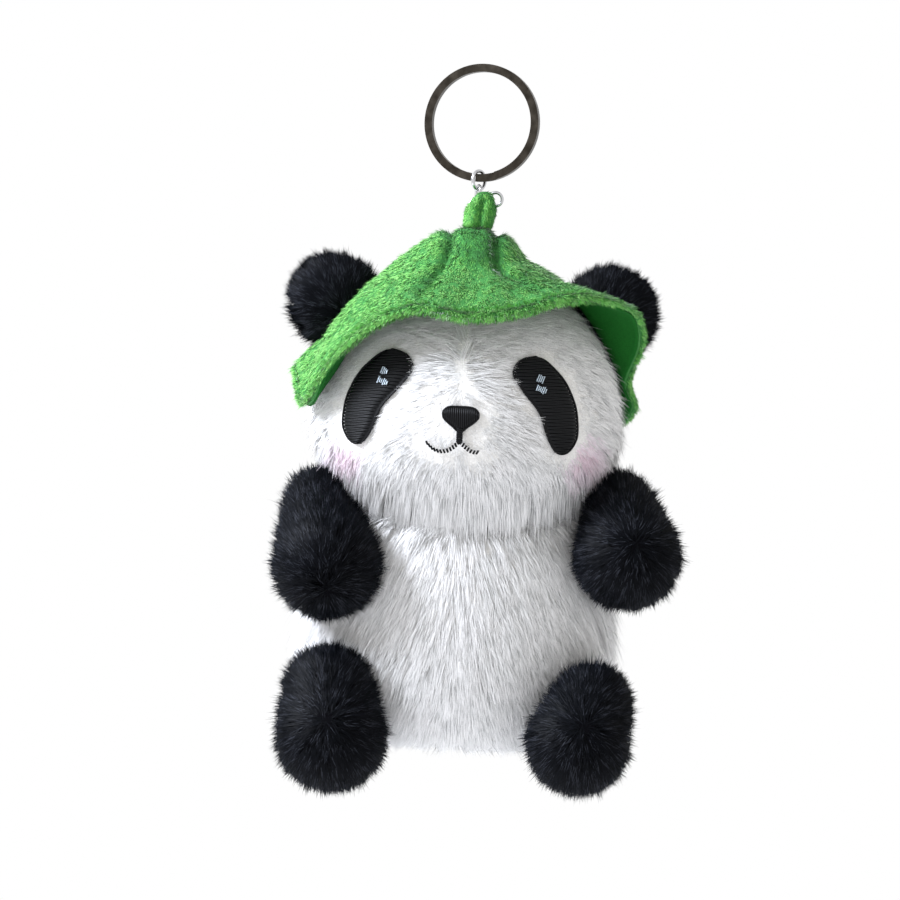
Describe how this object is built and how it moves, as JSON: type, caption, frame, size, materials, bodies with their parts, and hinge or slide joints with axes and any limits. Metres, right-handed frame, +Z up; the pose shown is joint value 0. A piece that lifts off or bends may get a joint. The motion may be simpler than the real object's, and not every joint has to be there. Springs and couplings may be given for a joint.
{
  "type": "plush panda key-chain",
  "caption": "Stuffed plush panda with a leaf-shaped hat, hanging by steel links from a split key ring; head, arms and legs flex at their seams.",
  "frame": {"origin": "centre of the split ring, midway through its two turns", "axes": "+Z up, along the hanging length; the panda looks along -Y; +X is the panda's left side"},
  "size_m": [0.1002, 0.0775, 0.1828],
  "materials": {
    "ring_steel": "dark nickel-plated spring steel, satin",
    "link_steel": "nickel-plated wire, polished",
    "leaf_plush": "short-pile green plush, laid nap",
    "leaf_lining": "smooth green knitted lining",
    "white_plush": "long silky white pile",
    "black_plush": "fluffy black pile with grey tips",
    "stuffing": "white polyester fibre fill, inside the covers",
    "black_thread": "black satin-stitch embroidery thread",
    "silver_thread": "pale silver satin-stitch thread",
    "white_thread": "white sewing thread, ladder stitch"
  },
  "bodies": {
    "split_ring": {"split_ring": "ring_steel"},
    "round_link": {"round_link": "link_steel"},
    "oval_link": {"oval_link": "link_steel"},
    "head": {"jump_ring": "link_steel", "hat_stem": "leaf_plush", "leaf_cover": "leaf_plush", "leaf_lining": "leaf_lining", "right_ear_front": "black_plush", "right_ear_back": "black_plush", "left_ear_front": "black_plush", "left_ear_back": "black_plush", "face_right_panel": "white_plush", "face_left_panel": "white_plush", "head_back_panel": "white_plush", "head_stuffing": "stuffing", "neck_stuffing": "stuffing", "right_eye": "black_thread", "left_eye": "black_thread", "right_eye_glint": "silver_thread", "left_eye_glint": "silver_thread", "nose": "black_thread", "mouth": "black_thread"},
    "torso": {"torso_stuffing": "stuffing", "belly_right_panel": "white_plush", "belly_left_panel": "white_plush", "back_right_panel": "white_plush", "back_left_panel": "white_plush", "base_panel": "white_plush", "closing_stitches": "white_thread"},
    "right_arm": {"right_arm_outer_panel": "black_plush", "right_arm_inner_panel": "black_plush", "right_arm_stuffing": "stuffing"},
    "right_leg": {"right_leg_outer_panel": "black_plush", "right_leg_inner_panel": "black_plush", "right_leg_stuffing": "stuffing"},
    "left_arm": {"left_arm_outer_panel": "black_plush", "left_arm_inner_panel": "black_plush", "left_arm_stuffing": "stuffing"},
    "left_leg": {"left_leg_outer_panel": "black_plush", "left_leg_inner_panel": "black_plush", "left_leg_stuffing": "stuffing"}
  },
  "joints": [
    {"name": "round_link_rock", "type": "hinge", "parent": "split_ring", "child": "round_link", "pos_m": [0, 0, -0.014], "axis": [0.9659, -0.2588, 0], "range_deg": [-15, 15]},
    {"name": "oval_link_swing", "type": "hinge", "parent": "round_link", "child": "oval_link", "pos_m": [0, 0, -0.01705], "axis": [0.6428, 0.766, 0], "range_deg": [-20, 20]},
    {"name": "head_swing", "type": "hinge", "parent": "oval_link", "child": "head", "pos_m": [0, 0, -0.02023], "axis": [-0.342, 0.9397, 0], "range_deg": [-15, 15]},
    {"name": "neck_nod", "type": "hinge", "parent": "head", "child": "torso", "pos_m": [0, 0.0025, -0.1], "axis": [1, 0, 0], "range_deg": [-10, 10], "stiffness_Nm_per_rad": 0.02},
    {"name": "right_arm_lift", "type": "hinge", "parent": "torso", "child": "right_arm", "pos_m": [-0.037, -0.006, -0.0982], "axis": [0, 1, 0], "range_deg": [0, 60], "stiffness_Nm_per_rad": 0.004},
    {"name": "left_arm_lift", "type": "hinge", "parent": "torso", "child": "left_arm", "pos_m": [0.04, -0.005, -0.0956], "axis": [0, -1, 0], "range_deg": [0, 60], "stiffness_Nm_per_rad": 0.004},
    {"name": "right_leg_kick", "type": "hinge", "parent": "torso", "child": "right_leg", "pos_m": [-0.031, -0.02, -0.1448], "axis": [-1, 0, 0], "range_deg": [0, 40], "stiffness_Nm_per_rad": 0.004},
    {"name": "left_leg_kick", "type": "hinge", "parent": "torso", "child": "left_leg", "pos_m": [0.035, -0.02, -0.1446], "axis": [-1, 0, 0], "range_deg": [0, 40], "stiffness_Nm_per_rad": 0.004}
  ]
}
